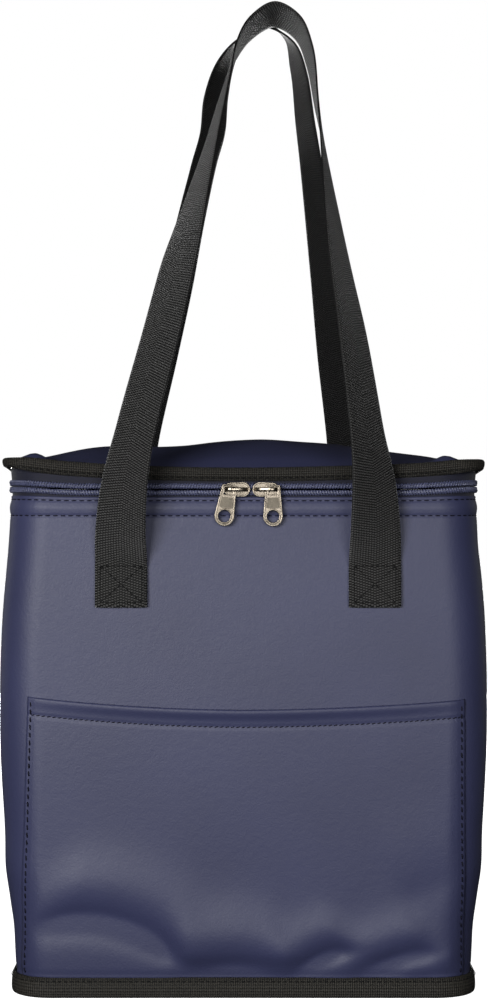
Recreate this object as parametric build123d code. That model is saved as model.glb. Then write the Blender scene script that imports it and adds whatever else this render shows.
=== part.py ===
from build123d import *
from functools import lru_cache
import math
import os

# Insulated cooler bag with a zipped lid, two carrying handles and a front slip pocket.
# Millimetres. +Z is up, the front is at -Y, and the origin is the centre of the base.
# Sheets are cut from solids that share one outer surface, so neighbours meet face to face.

# ---- body: half width and half depth of the outer cloth at a few heights ----
BODY_PROFILE = [
    (0.0, 134.0, 85.0),
    (40.0, 135.5, 86.0),
    (95.0, 139.5, 87.5),
    (155.0, 142.5, 88.0),
    (215.0, 141.5, 87.2),
    (265.0, 137.5, 86.0),
    (310.0, 135.5, 85.5),
]
CORNER_RADIUS = 24.0
CLOTH = 1.0
LINING = 0.5
FOAM = 5.0
GLUE_GAP = 0.2

WALL_BOTTOM = 1.2
WALL_TOP = 288.6
FOAM_TOP = 276.0
LINING_TOP = 286.0
BACK_SEAM_X = 112.0
FOAM_CORNER_X = 109.0
FOAM_JOINT_GAP = 0.3

# ---- base ----
BINDING_HEIGHT = 12.0
BINDING_CLOTH = 1.2
BOARD = 2.0
BASE_FOAM = 8.0

# ---- zip ----
ZIP_CENTRE = 293.4
COIL_HALF = 2.7
COIL_SPLIT = 1.0
COIL_PROUD = 0.9
TAPE = 0.6
TAPE_BOTTOM = 278.0
ZIP_END_X = 100.0
HINGE_STRIP_TOP = 297.6
STOP_WIDTH = 8.0
STOP_RANGE = (280.0, 293.0)

# ---- lid ----
LID_BOTTOM = 298.3
LID_BINDING_TOP = 306.5
LID_BINDING_PROUD = 3.2
LID_RIM = CLOTH + TAPE
LID_FOAM = 8.0
LID_LINING_BOTTOM = 298.9
DOME_PROFILE = [(302.5, 0.0), (308.5, 5.0), (314.0, 16.0), (318.3, 36.0), (320.5, 62.0)]
DOME_CORNER = 14.0

# ---- pocket ----
POCKET_LEFT = -124.0
POCKET_RIGHT = 126.0
POCKET_TOP = 171.0
POCKET_GAP = 5.5
POCKET_HEM = 3.0

# ---- handles: webbing from one sewn end, over the top, to the other ----
WEBBING_WIDTH = 30.0
WEBBING_THICKNESS = 1.5
FRONT_ENDS = (-70.4, 75.6)
BACK_ENDS = (-75.6, 70.4)
END_BOTTOM = 225.0
END_TOP = 251.6
HANDLE_START = 253.0
TWIST_TOP = 575.0
TWIST_POWER = 0.6
HANDLE_LEAN = 17.7
HANDLE_SECTIONS = 44
FRONT_HANDLE = [
    (FRONT_ENDS[0], -88.5, HANDLE_START),
    (-70.2, -98.0, 270.0),
    (-67.5, -105.5, 297.0),
    (-61.0, -107.5, 328.0),
    (-47.3, -99.5, 382.0),
    (-37.0, -84.0, 427.0),
    (-19.7, -47.0, 500.0),
    (-9.0, -27.5, 545.0),
    (1.5, -18.5, 571.0),
    (19.0, -15.5, 583.0),
    (34.5, -18.5, 571.0),
    (40.5, -27.5, 545.0),
    (46.5, -47.0, 500.0),
    (55.5, -84.0, 427.0),
    (61.5, -99.5, 382.0),
    (69.5, -107.5, 328.0),
    (74.0, -105.5, 297.0),
    (75.5, -98.0, 270.0),
    (FRONT_ENDS[1], -88.5, HANDLE_START),
]
# the back handle is drawn as if at the front, then mirrored
BACK_HANDLE = [
    (BACK_ENDS[0], -88.5, HANDLE_START),
    (-75.4, -98.0, 270.0),
    (-73.5, -105.5, 297.0),
    (-68.5, -107.5, 328.0),
    (-55.0, -99.5, 382.0),
    (-43.5, -84.0, 427.0),
    (-27.5, -47.0, 500.0),
    (-21.0, -27.5, 545.0),
    (-8.0, -18.5, 571.0),
    (13.0, -15.5, 583.0),
    (30.5, -18.5, 571.0),
    (37.0, -27.5, 545.0),
    (42.5, -47.0, 500.0),
    (52.5, -84.0, 427.0),
    (58.5, -99.5, 382.0),
    (66.5, -107.5, 328.0),
    (69.4, -105.5, 297.0),
    (70.2, -98.0, 270.0),
    (BACK_ENDS[1], -88.5, HANDLE_START),
]

# ---- zip sliders, both drawn for the left one: nose towards +X ----
SLIDER_LEFT_X = -3.75
SLIDER_RIGHT_X = 12.75
SLIDER_NOSE = (3.4, 4.3)
SLIDER_TAIL = (-3.75, 4.0)
SLIDER_PLATE = 1.4
SLIDER_BACK_PLATE = 1.0
PLATE_FRONT_Y = -86.8
PLATE_BACK_Y = -83.4
LIP_DEPTH = 1.8
LIP_DROP = 3.5
BLADE = 0.5
BLADE_SPAN = (0.5, 7.0)
BAIL_HALF_WIDTH = 1.2
BAIL_HEIGHTS = (-3.0, -2.0, 3.0, 3.9)
BAIL_OUTER_Y = -92.4
BAIL_INNER_Y = -91.2

# ---- pull tabs, hanging from the sliders' bails ----
PIVOT_FROM_CENTRE = 4.2
PIVOT_Y = -89.8
PIVOT_RISE = 1.9
PULL_BAR = 0.7
PULL_TOP_WIDTH = 8.5
PULL_ROUND = 5.7
PULL_LENGTH = 23.9
PULL_WINDOW = (5.2, 5.9)
PULL_RECESS = 0.4
PULL_RIM = 1.0
EYE_RADIUS = 3.5
PULL_LEFT_TILT = 10.0

REACH = 500.0


@lru_cache
def body_core(inset):
    """Solid inside the outer cloth's surface, moved inwards by inset (outwards if negative)."""
    sections = []
    for height, half_x, half_y in BODY_PROFILE:
        outline = RectangleRounded(
            2 * (half_x - inset), 2 * (half_y - inset), CORNER_RADIUS - inset
        )
        sections.append(Plane.XY.offset(height) * outline)
    return loft(sections)


def block(low_x, high_x, low_y, high_y, low_z, high_z):
    """Box between two corners."""
    box = Box(high_x - low_x, high_y - low_y, high_z - low_z)
    middle = ((low_x + high_x) / 2, (low_y + high_y) / 2, (low_z + high_z) / 2)
    return Pos(*middle) * box


def slab(low_z, high_z):
    """Everything between two heights."""
    return block(-REACH, REACH, -REACH, REACH, low_z, high_z)


def ring(outer_inset, inner_inset, low_z, high_z):
    """Upright band around the body between two insets and two heights."""
    return (body_core(outer_inset) - body_core(inner_inset)) & slab(low_z, high_z)


def sheet(inset, low_z, high_z):
    """Level sheet that fills the body's outline at an inset."""
    return body_core(inset) & slab(low_z, high_z)


def make_walls():
    """Outer cloth: one piece round the front and sides, and a back panel."""
    wall = ring(0, CLOTH, WALL_BOTTOM, WALL_TOP)
    back_zone = block(-BACK_SEAM_X, BACK_SEAM_X, 0, REACH, 0, REACH)
    return {"outer_wrap": wall - back_zone, "outer_back": wall & back_zone}


def make_base():
    """Base cloth turned up inside the wall, edge binding, stiffener, foam and lining."""
    floor = sheet(CLOTH, 0, CLOTH)
    turn_up = ring(CLOTH, 2 * CLOTH, 0, BINDING_HEIGHT)
    leg = ring(-BINDING_CLOTH, 0, 0, BINDING_HEIGHT)
    lip = ring(0, CLOTH, 0, WALL_BOTTOM)
    inside = 2 * CLOTH + FOAM_JOINT_GAP
    board_bottom = CLOTH + GLUE_GAP
    foam_bottom = board_bottom + BOARD + GLUE_GAP
    lining_bottom = foam_bottom + BASE_FOAM + GLUE_GAP
    lining_inset = CLOTH + 2 * GLUE_GAP + FOAM + LINING
    return {
        "outer_base": floor + turn_up,
        "base_binding": leg + lip,
        "base_board": sheet(inside, board_bottom, board_bottom + BOARD),
        "foam_base": sheet(inside, foam_bottom, foam_bottom + BASE_FOAM),
        "lining_base": sheet(lining_inset, lining_bottom, lining_bottom + LINING),
    }


def make_insulation():
    """Four foam panels between the outer cloth and the lining."""
    outer = CLOTH + GLUE_GAP
    foam = ring(outer, outer + FOAM, BINDING_HEIGHT + FOAM_JOINT_GAP, FOAM_TOP)
    middle = FOAM_CORNER_X
    side = FOAM_CORNER_X + FOAM_JOINT_GAP
    return {
        "foam_front": foam & block(-middle, middle, -REACH, 0, 0, REACH),
        "foam_back": foam & block(-middle, middle, 0, REACH, 0, REACH),
        "foam_left": foam & block(-REACH, -side, -REACH, REACH, 0, REACH),
        "foam_right": foam & block(side, REACH, -REACH, REACH, 0, REACH),
    }


def make_lining():
    """Wall lining: up the foam, over its top edge, and up behind the zip tape."""
    outer = CLOTH + 2 * GLUE_GAP + FOAM
    behind_tape = CLOTH + TAPE + GLUE_GAP / 4
    bottom = BINDING_HEIGHT - 2 * GLUE_GAP
    shelf = FOAM_TOP + LINING
    wall = ring(outer, outer + LINING, bottom, shelf)
    over = ring(behind_tape, outer + LINING, FOAM_TOP, shelf)
    hem = ring(behind_tape, behind_tape + LINING, FOAM_TOP, LINING_TOP)
    return {"lining_walls": wall + over + hem}


def make_zip():
    """Tapes and coil halves, open at the back where the lid is joined by a strip of cloth."""
    gap = block(-ZIP_END_X, ZIP_END_X, 0, REACH, 0, REACH)
    split = COIL_SPLIT / 2
    low_coil = (ZIP_CENTRE - split - COIL_HALF, ZIP_CENTRE - split)
    high_coil = (ZIP_CENTRE + split, ZIP_CENTRE + split + COIL_HALF)
    tape_in = CLOTH + TAPE
    strip = ring(0, CLOTH, WALL_TOP, HINGE_STRIP_TOP)
    cover = ring(-COIL_PROUD - 2 * GLUE_GAP - CLOTH, -COIL_PROUD - GLUE_GAP, WALL_TOP, STOP_RANGE[1])
    foot = ring(-COIL_PROUD - 2 * GLUE_GAP - CLOTH, 0, STOP_RANGE[0], WALL_TOP)
    ends = Part()
    for side in (-1, 1):
        near = side * ZIP_END_X
        far = side * (ZIP_END_X + STOP_WIDTH)
        ends += (cover + foot) & block(min(near, far), max(near, far), 0, REACH, 0, REACH)
    return {
        "zip_tape_lower": ring(CLOTH, tape_in, TAPE_BOTTOM, low_coil[1] - 1) - gap,
        "zip_coil_lower": ring(-COIL_PROUD, CLOTH, *low_coil) - gap,
        "zip_tape_upper": ring(CLOTH, tape_in, high_coil[0] + 1, LID_BOTTOM) - gap,
        "zip_coil_upper": ring(-COIL_PROUD, CLOTH, *high_coil) - gap,
        "rear_hinge_strip": strip & gap,
        "zip_end_stops": ends,
    }


def lid_dome(drop):
    """Solid under the padded lid's top surface, which is lowered by drop."""
    half_x = BODY_PROFILE[-1][1] - LID_RIM
    half_y = BODY_PROFILE[-1][2] - LID_RIM
    sections = []
    for height, inset in DOME_PROFILE:
        radius = max(CORNER_RADIUS - LID_RIM - inset / 2, DOME_CORNER)
        outline = RectangleRounded(2 * (half_x - inset), 2 * (half_y - inset), radius)
        sections.append(Plane.XY.offset(height - drop) * outline)
    foot_height = DOME_PROFILE[0][0] - drop
    foot = extrude(sections[0], amount=-foot_height)
    return loft(sections) + foot


def make_lid():
    """Bound edge, outer panel, bowed foam sheet and lining."""
    foam_top = CLOTH + GLUE_GAP
    foam_bottom = foam_top + LID_FOAM
    lining_top = foam_bottom + GLUE_GAP
    above_lining = LID_LINING_BOTTOM + LINING
    dome = lid_dome(0)
    panel = (dome - lid_dome(CLOTH)) & slab(LID_BOTTOM, REACH)
    foam = (lid_dome(foam_top) - lid_dome(foam_bottom)) & slab(above_lining + GLUE_GAP, REACH)
    flat = dome & slab(LID_LINING_BOTTOM, above_lining)
    bowed = lid_dome(lining_top) & slab(LID_LINING_BOTTOM, REACH)
    lining = (flat + bowed) - lid_dome(lining_top + LINING)
    edge_band = Plane.XY.offset(LID_BOTTOM) * RectangleRounded(
        2 * (BODY_PROFILE[-1][1] + LID_BINDING_PROUD),
        2 * (BODY_PROFILE[-1][2] + LID_BINDING_PROUD),
        CORNER_RADIUS + LID_BINDING_PROUD,
    )
    binding = extrude(edge_band, amount=LID_BINDING_TOP - LID_BOTTOM)
    inner = Plane.XY.offset(LID_BOTTOM) * RectangleRounded(
        2 * (BODY_PROFILE[-1][1] - LID_RIM),
        2 * (BODY_PROFILE[-1][2] - LID_RIM),
        CORNER_RADIUS - LID_RIM,
    )
    binding -= extrude(inner, amount=LID_BINDING_TOP - LID_BOTTOM)
    return {
        "lid_panel": panel,
        "lid_foam": foam,
        "lid_lining": lining,
        "lid_binding": binding,
    }


def make_pocket():
    """Slip pocket, open at the top, sewn down along its sides and caught in the base edge."""
    zone = block(POCKET_LEFT, POCKET_RIGHT, -REACH, 0, BINDING_HEIGHT, POCKET_TOP)
    window = block(
        POCKET_LEFT + POCKET_HEM, POCKET_RIGHT - POCKET_HEM, -REACH, 0,
        BINDING_HEIGHT + POCKET_HEM, POCKET_TOP,
    )
    panel = (body_core(-POCKET_GAP - CLOTH) - body_core(-POCKET_GAP)) & zone
    edges = ((body_core(-POCKET_GAP) - body_core(0)) & zone) - window
    return {"front_pocket": panel + edges}


def make_handle(centre):
    """Webbing along a centre line at the front: it turns edge-on as it rises to its top."""
    path = Spline(*centre)
    lean = Vector(0, -1, 0).rotate(Axis.X, -HANDLE_LEAN)
    sections = []
    for step in range(HANDLE_SECTIONS + 1):
        place = path @ (step / HANDLE_SECTIONS)
        along = path % (step / HANDLE_SECTIONS)
        climb = min(max((place.Z - HANDLE_START) / (TWIST_TOP - HANDLE_START), 0), 1)
        twist = math.radians(90 * climb**TWIST_POWER)
        inward = Vector(0, 1, 0).cross(along).normalized()
        across = lean - along * lean.dot(along)
        width_way = inward * math.cos(twist) + across.normalized() * math.sin(twist)
        plane = Plane(origin=place, x_dir=width_way, z_dir=along)
        sections.append(plane * Rectangle(WEBBING_WIDTH, WEBBING_THICKNESS))
    return loft(sections, ruled=True)


def make_handle_ends(middles):
    """Sewn ends at the front, folded double and standing on the outer cloth."""
    pad = body_core(-2 * WEBBING_THICKNESS) - body_core(0)
    half = WEBBING_WIDTH / 2
    ends = Part()
    for middle in middles:
        ends += pad & block(middle - half, middle + half, -REACH, 0, END_BOTTOM, END_TOP)
    return ends


def upright(outline, low_y, high_y):
    """Thickness from low_y to high_y for an outline drawn in X and Z about the zip's centre."""
    plate = extrude(Plane.XZ * outline, amount=high_y - low_y)
    return Pos(0, high_y, ZIP_CENTRE) * plate


def make_slider():
    """Left slider about its own middle: two plates, the blade between them, a lip and a bail."""
    nose = Pos(SLIDER_NOSE[0], 0) * Circle(SLIDER_NOSE[1])
    tail = Pos(SLIDER_TAIL[0], 0) * Circle(SLIDER_TAIL[1])
    outline = make_hull((nose + tail).edges())
    front = upright(outline, PLATE_FRONT_Y - SLIDER_PLATE, PLATE_FRONT_Y)
    back = upright(outline, PLATE_BACK_Y, PLATE_BACK_Y + SLIDER_BACK_PLATE)
    below = block(-REACH, REACH, -REACH, REACH, 0, ZIP_CENTRE - LIP_DROP)
    lip = upright(outline, PLATE_FRONT_Y, PLATE_FRONT_Y + LIP_DEPTH) & below
    half_blade = BLADE / 2
    blade = block(
        *BLADE_SPAN, PLATE_FRONT_Y, PLATE_BACK_Y, ZIP_CENTRE - half_blade, ZIP_CENTRE + half_blade
    )
    low, low_inner, high_inner, high = (ZIP_CENTRE + height for height in BAIL_HEIGHTS)
    left = -PIVOT_FROM_CENTRE - BAIL_HALF_WIDTH
    right = -PIVOT_FROM_CENTRE + BAIL_HALF_WIDTH
    plate_face = PLATE_FRONT_Y - SLIDER_PLATE
    bail = block(left, right, BAIL_OUTER_Y, plate_face, low, high)
    bail = fillet(bail.edges().filter_by(Axis.X).group_by(Axis.Y)[0], BAIL_HALF_WIDTH)
    bail -= block(left, right, BAIL_INNER_Y, plate_face, low_inner, high_inner)
    return front + back + lip + blade + bail


def make_pull(tilt):
    """Pull tab hanging from its bar, which is at the origin, and turned by tilt in its plane."""
    half_top = PULL_TOP_WIDTH / 2
    round_z = -(PULL_LENGTH - PULL_BAR - PULL_ROUND)
    top = Pos(0, -PULL_BAR) * Rectangle(PULL_TOP_WIDTH, 2 * PULL_BAR)
    end = Pos(0, round_z) * Circle(PULL_ROUND)
    outline = make_hull((top + end).edges())
    window_width, window_height = PULL_WINDOW
    window = Pos(0, -window_height / 2 - PULL_BAR / 2) * Rectangle(window_width, window_height - PULL_BAR)
    eye = Pos(0, round_z) * Circle(EYE_RADIUS)
    plate = extrude(Plane.XZ * (outline - window - eye), amount=PULL_BAR, both=True)
    panel_low = round_z + PULL_ROUND
    panel_high = -window_height - PULL_RIM
    panel = Pos(0, (panel_low + panel_high) / 2) * Rectangle(
        PULL_TOP_WIDTH - 2 * PULL_RIM, panel_high - panel_low
    )
    recess = Pos(0, -PULL_BAR + PULL_RECESS, 0) * extrude(Plane.XZ * panel, amount=PULL_BAR)
    bar = Rot(0, 90, 0) * Cylinder(PULL_BAR, PULL_TOP_WIDTH)
    pull = plate - recess
    pull -= block(-half_top, half_top, -REACH, REACH, -PULL_BAR, REACH)
    rails = []
    for side in (-1, 1):
        inner = side * window_width / 2
        outer = side * half_top
        rails.append(
            block(min(inner, outer), max(inner, outer), -PULL_BAR, PULL_BAR, -2 * PULL_BAR, 0)
        )
    return Rot(0, tilt, 0) * (pull + rails[0] + rails[1] + bar)


def make_zip_hardware():
    """Two sliders nose to nose and their pulls."""
    slider = make_slider()
    pivot_z = ZIP_CENTRE + PIVOT_RISE
    left_pivot = (SLIDER_LEFT_X - PIVOT_FROM_CENTRE, PIVOT_Y, pivot_z)
    right_pivot = (SLIDER_RIGHT_X + PIVOT_FROM_CENTRE, PIVOT_Y, pivot_z)
    return {
        "slider_left": Pos(SLIDER_LEFT_X, 0, 0) * slider,
        "slider_right": Pos(SLIDER_RIGHT_X, 0, 0) * mirror(slider, about=Plane.YZ),
        "pull_left": Pos(*left_pivot) * make_pull(PULL_LEFT_TILT),
        "pull_right": Pos(*right_pivot) * make_pull(0),
    }


def make_handles():
    """Both handles and their sewn ends."""
    return {
        "handle_front_webbing": make_handle(FRONT_HANDLE),
        "handle_front_ends": make_handle_ends(FRONT_ENDS),
        "handle_back_webbing": mirror(make_handle(BACK_HANDLE), about=Plane.XZ),
        "handle_back_ends": mirror(make_handle_ends(BACK_ENDS), about=Plane.XZ),
    }


def main():
    os.makedirs("parts", exist_ok=True)
    pieces = {}
    for maker in (
        make_walls,
        make_base,
        make_insulation,
        make_lining,
        make_zip,
        make_lid,
        make_pocket,
        make_handles,
        make_zip_hardware,
    ):
        pieces.update(maker())
    for name, piece in pieces.items():
        export_step(piece, f"parts/{name}.step")


main()
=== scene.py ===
import math

import bmesh
import bpy
import numpy as np
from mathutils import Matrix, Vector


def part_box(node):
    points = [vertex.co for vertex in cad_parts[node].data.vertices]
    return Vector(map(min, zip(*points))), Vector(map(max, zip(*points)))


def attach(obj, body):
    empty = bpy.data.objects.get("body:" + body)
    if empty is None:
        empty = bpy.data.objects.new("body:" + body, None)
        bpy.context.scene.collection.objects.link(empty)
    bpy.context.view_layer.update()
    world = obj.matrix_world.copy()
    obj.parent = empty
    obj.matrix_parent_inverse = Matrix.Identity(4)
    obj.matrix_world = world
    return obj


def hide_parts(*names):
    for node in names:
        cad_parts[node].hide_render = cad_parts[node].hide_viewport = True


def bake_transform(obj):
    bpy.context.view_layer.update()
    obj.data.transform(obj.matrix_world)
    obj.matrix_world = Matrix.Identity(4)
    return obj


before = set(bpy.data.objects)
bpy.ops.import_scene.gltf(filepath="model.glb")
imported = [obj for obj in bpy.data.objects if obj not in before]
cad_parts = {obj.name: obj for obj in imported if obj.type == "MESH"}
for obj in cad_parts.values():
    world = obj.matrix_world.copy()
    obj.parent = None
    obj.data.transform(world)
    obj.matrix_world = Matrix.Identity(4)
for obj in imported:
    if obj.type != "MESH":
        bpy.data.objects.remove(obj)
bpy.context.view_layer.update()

MM = 0.001
UP = np.array([0.0, 0.0, 1.0])

# ---- the bag's own sizes, in millimetres, as in the CAD model ----
PROFILE_Z = [0.0, 15.0, 40.0, 95.0, 155.0, 215.0, 265.0, 310.0]
PROFILE_X = [134.0, 133.6, 135.5, 139.5, 142.5, 141.5, 137.5, 135.5]
PROFILE_Y = [85.0, 85.1, 86.0, 87.5, 88.0, 87.2, 86.0, 85.5]
CORNER = 24.0
WALL_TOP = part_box("outer_wrap")[1][2] / MM
FOAM_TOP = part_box("foam_front")[1][2] / MM
BINDING_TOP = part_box("base_binding")[1][2] / MM
LID_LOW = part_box("lid_binding")[0][2] / MM
LID_HALF_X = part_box("lid_binding")[1][0] / MM
LID_HALF_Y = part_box("lid_binding")[1][1] / MM
LINING_INSET = 6.4
ZIP_Z = (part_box("zip_coil_lower")[0][2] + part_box("zip_coil_upper")[1][2]) / 2 / MM
ZIP_END_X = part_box("rear_hinge_strip")[1][0] / MM

WEBBING_WIDTH = 30.0
WEBBING = 1.5
END_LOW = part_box("handle_front_ends")[0][2] / MM
END_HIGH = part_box("handle_front_ends")[1][2] / MM

STITCH_PITCH = 4.4
STITCH_ROWS = (278.2, 286.9)


# ---- materials ----


class Shader:
    """A principled material and short ways to add nodes to it."""

    def __init__(self, name, color, roughness, metallic=0.0, specular=0.5, sheen=0.0):
        self.material = bpy.data.materials.new(name)
        self.material.use_nodes = True
        self.material.diffuse_color = (*color, 1.0)
        self.tree = self.material.node_tree
        self.surface = self.tree.nodes["Principled BSDF"]
        self.surface.inputs["Base Color"].default_value = (*color, 1.0)
        self.surface.inputs["Roughness"].default_value = roughness
        self.surface.inputs["Metallic"].default_value = metallic
        self.surface.inputs["Specular IOR Level"].default_value = specular
        self.surface.inputs["Sheen Weight"].default_value = sheen

    def add(self, kind, **inputs):
        """New node with values on its named inputs."""
        node = self.tree.nodes.new(kind)
        for name, value in inputs.items():
            node.inputs[name.replace("_", " ")].default_value = value
        return node

    def wire(self, source, target):
        self.tree.links.new(source, target)

    def math(self, operation, *values):
        """Output of a math node, whose inputs are numbers or other nodes' outputs."""
        node = self.add("ShaderNodeMath")
        node.operation = operation
        for socket, value in zip(node.inputs, values):
            if hasattr(value, "is_output"):
                self.wire(value, socket)
            else:
                socket.default_value = value
        return node.outputs[0]

    def place(self, kind):
        """Texture coordinates: Object or UV."""
        return self.add("ShaderNodeTexCoord").outputs[kind]

    def noise(self, scale, detail=2.0, stretch=None):
        node = self.add("ShaderNodeTexNoise", Scale=scale, Detail=detail)
        source = self.place("Object")
        if stretch:
            mapping = self.add("ShaderNodeMapping", Scale=stretch)
            self.wire(source, mapping.inputs["Vector"])
            source = mapping.outputs[0]
        self.wire(source, node.inputs["Vector"])
        return node.outputs["Fac"]

    def colour(self, value, *stops):
        """Base colour from a value, through (place, colour) stops."""
        node = self.add("ShaderNodeValToRGB")
        for element, (place, color) in zip(node.color_ramp.elements, stops):
            element.position = place
            element.color = (*color, 1.0)
        self.wire(value, node.inputs[0])
        self.wire(node.outputs[0], self.surface.inputs["Base Color"])

    def mottle(self, value, tone, low, high):
        """Base colour between a darker and a lighter shade of one tone."""
        self.colour(value, (0.3, shade(tone, low)), (0.7, shade(tone, high)))

    def roughness(self, value, low, high):
        node = self.add("ShaderNodeMapRange", To_Min=low, To_Max=high)
        self.wire(value, node.inputs["Value"])
        self.wire(node.outputs[0], self.surface.inputs["Roughness"])

    def bump(self, height, depth_mm):
        """Relief of the given depth, on top of any relief added before."""
        node = self.add("ShaderNodeBump", Strength=1.0, Distance=depth_mm * MM)
        normal = self.surface.inputs["Normal"]
        if normal.is_linked:
            self.wire(normal.links[0].from_socket, node.inputs["Normal"])
        self.wire(height, node.inputs["Height"])
        self.wire(node.outputs[0], normal)

    def uv(self):
        split = self.add("ShaderNodeSeparateXYZ")
        self.wire(self.place("UV"), split.inputs[0])
        return split.outputs[0], split.outputs[1]


def shade(color, factor):
    return tuple(channel * factor for channel in color)


NAVY = (0.029, 0.0325, 0.080)
BLACK = (0.011, 0.011, 0.011)
WEAVE_COLUMNS = 19
WEAVE_ROWS = 20
WEAVE_STEP = 0.30


def navy_cloth():
    """Matte coated cloth: fine leather grain, faint clouding, soft sheen."""
    s = Shader("navy_pu", NAVY, 0.50, specular=0.46)
    s.mottle(s.noise(14.0, 4.0), NAVY, 0.93, 1.07)
    grain = s.noise(900.0, 3.0)
    s.roughness(grain, 0.46, 0.60)
    s.bump(grain, 0.10)
    s.bump(s.noise(220.0), 0.12)
    return s.material


def grosgrain():
    """Black ribbed ribbon: one rib for each unit of the length, fine threads across it. Its colour is
    lighter on each rib's crest, a painted highlight, and darker between ribs, painted shade.
    """
    s = Shader("black_grosgrain", BLACK, 0.66, specular=0.25)
    across, along = s.uv()
    rib_painted_light = s.math("COSINE", s.math("MULTIPLY", along, 2 * math.pi))
    threads = s.math("SINE", s.math("MULTIPLY", across, 2 * math.pi * 24))
    fibre = s.noise(1300.0)
    # rib crests lighter and gaps darker in the colour: painted highlight and painted shade
    tone = s.math("MULTIPLY_ADD", rib_painted_light, 0.26, s.math("MULTIPLY_ADD", threads, 0.08, fibre))
    s.colour(tone, (0.25, (0.0015, 0.0014, 0.0012)), (0.85, (0.034, 0.031, 0.025)))
    s.bump(threads, 0.10)
    s.bump(fibre, 0.10)
    return s.material


def webbing_cloth(name, sheen, painted_shade_factor):
    """Black herringbone webbing: floats step from column to column and turn at the middle."""
    s = Shader(name, BLACK, 0.60, specular=0.25, sheen=sheen)
    s.surface.inputs["Sheen Roughness"].default_value = 0.35
    across, along = s.uv()
    columns = s.math("MULTIPLY", across, WEAVE_COLUMNS)
    column = s.math("FLOOR", columns)
    from_middle = s.math("ABSOLUTE", s.math("SUBTRACT", column, (WEAVE_COLUMNS - 1) / 2))
    run = s.math("MULTIPLY_ADD", along, WEAVE_ROWS, s.math("MULTIPLY", from_middle, WEAVE_STEP))
    floats = s.math("SINE", s.math("MULTIPLY", run, 2 * math.pi))
    edge = s.math("ABSOLUTE", s.math("SINE", s.math("MULTIPLY", columns, math.pi)))
    weave = s.math("MULTIPLY", s.math("MULTIPLY_ADD", floats, 0.5, 0.5), s.math("POWER", edge, 0.5))
    fibre = s.noise(1500.0)
    tone = s.math("MULTIPLY_ADD", weave, 0.8, s.math("MULTIPLY", fibre, 0.4))
    # the lighter weave stop is scaled by the last argument: below 1 it gives a darker copy of the
    # webbing, painted shade
    s.colour(tone, (0.35, (0.0006, 0.0006, 0.0006)), (1.0, shade((0.072, 0.071, 0.069), painted_shade_factor)))
    s.bump(weave, 0.45)
    s.bump(fibre, 0.06)
    return s.material


def zip_tape_cloth():
    """Navy woven tape."""
    # very dark tone: partly the tape's own navy, partly painted shade of the recess under the lid's
    # binding
    tone = (0.0055, 0.0060, 0.0165)
    s = Shader("zip_tape", tone, 0.7, specular=0.3, sheen=0.15)
    weave = s.noise(700.0, stretch=(1.0, 1.0, 3.0))
    s.mottle(weave, tone, 0.7, 1.3)
    s.bump(weave, 0.15)
    return s.material


def coil_plastic():
    """Slightly glossy navy polyester coil."""
    tone = (0.060, 0.066, 0.125)
    s = Shader("zip_coil", tone, 0.34, specular=0.55)
    fleck = s.noise(500.0, 1.0)
    s.mottle(fleck, tone, 0.8, 1.2)
    s.roughness(fleck, 0.28, 0.42)
    return s.material


def nickel(name, tone, roughness, grain_mm):
    """Warm plated metal with soft wear."""
    s = Shader(name, tone, 0.30, metallic=1.0)
    wear = s.noise(160.0, 4.0)
    s.mottle(wear, tone, 0.85, 1.15)
    s.roughness(wear, *roughness)
    s.bump(s.noise(1400.0), grain_mm)
    return s.material


def thread(name, tone):
    """Twisted sewing thread."""
    s = Shader(name, tone, 0.7, specular=0.2)
    twist = s.noise(1800.0, 1.0)
    s.mottle(twist, tone, 0.6, 1.6)
    s.bump(twist, 0.05)
    return s.material


def foil():
    """Silver lining film, lightly crinkled."""
    s = Shader("foil_lining", (0.78, 0.79, 0.81), 0.32, metallic=0.85)
    cells = s.add("ShaderNodeTexVoronoi", Scale=60.0)
    cells.feature = "DISTANCE_TO_EDGE"
    s.wire(s.place("Object"), cells.inputs["Vector"])
    crinkle = s.noise(70.0, 5.0)
    s.colour(crinkle, (0.3, (0.62, 0.63, 0.66)), (0.7, (0.86, 0.87, 0.88)))
    s.roughness(crinkle, 0.24, 0.42)
    s.bump(crinkle, 0.9)
    s.bump(cells.outputs["Distance"], 0.25)
    return s.material


# look: its material and the record's slot that it takes its finish from
LOOKS = {
    "navy": (navy_cloth(), "navy_pu"),
    "grosgrain": (grosgrain(), "black_grosgrain"),
    "webbing": (webbing_cloth("black_webbing", 0.20, 1.0), "black_webbing"),
    # the back handle's webbing: the same webbing made much darker and with less sheen, painted shade
    "painted_shade_webbing": (webbing_cloth("painted_shade_webbing", 0.03, 0.22), "black_webbing"),
    "tape": (zip_tape_cloth(), "zip_tape"),
    "coil": (coil_plastic(), "zip_coil"),
    "nickel": (nickel("nickel", (0.26, 0.225, 0.18), (0.20, 0.34), 0.004), "nickel"),
    "textured_nickel": (nickel("textured_nickel", (0.10, 0.088, 0.07), (0.36, 0.52), 0.20), "nickel"),
    "navy_thread": (thread("navy_thread", (0.003, 0.003, 0.010)), "navy_pu"),
    "black_thread": (thread("black_thread", (0.0025, 0.0025, 0.0028)), "black_webbing"),
    "foil": (foil(), "foil_lining"),
}


# ---- mesh helpers ----


def add_object(name, data):
    """New object in the scene."""
    thing = bpy.data.objects.new(name, data)
    bpy.context.scene.collection.objects.link(thing)
    return thing


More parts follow.
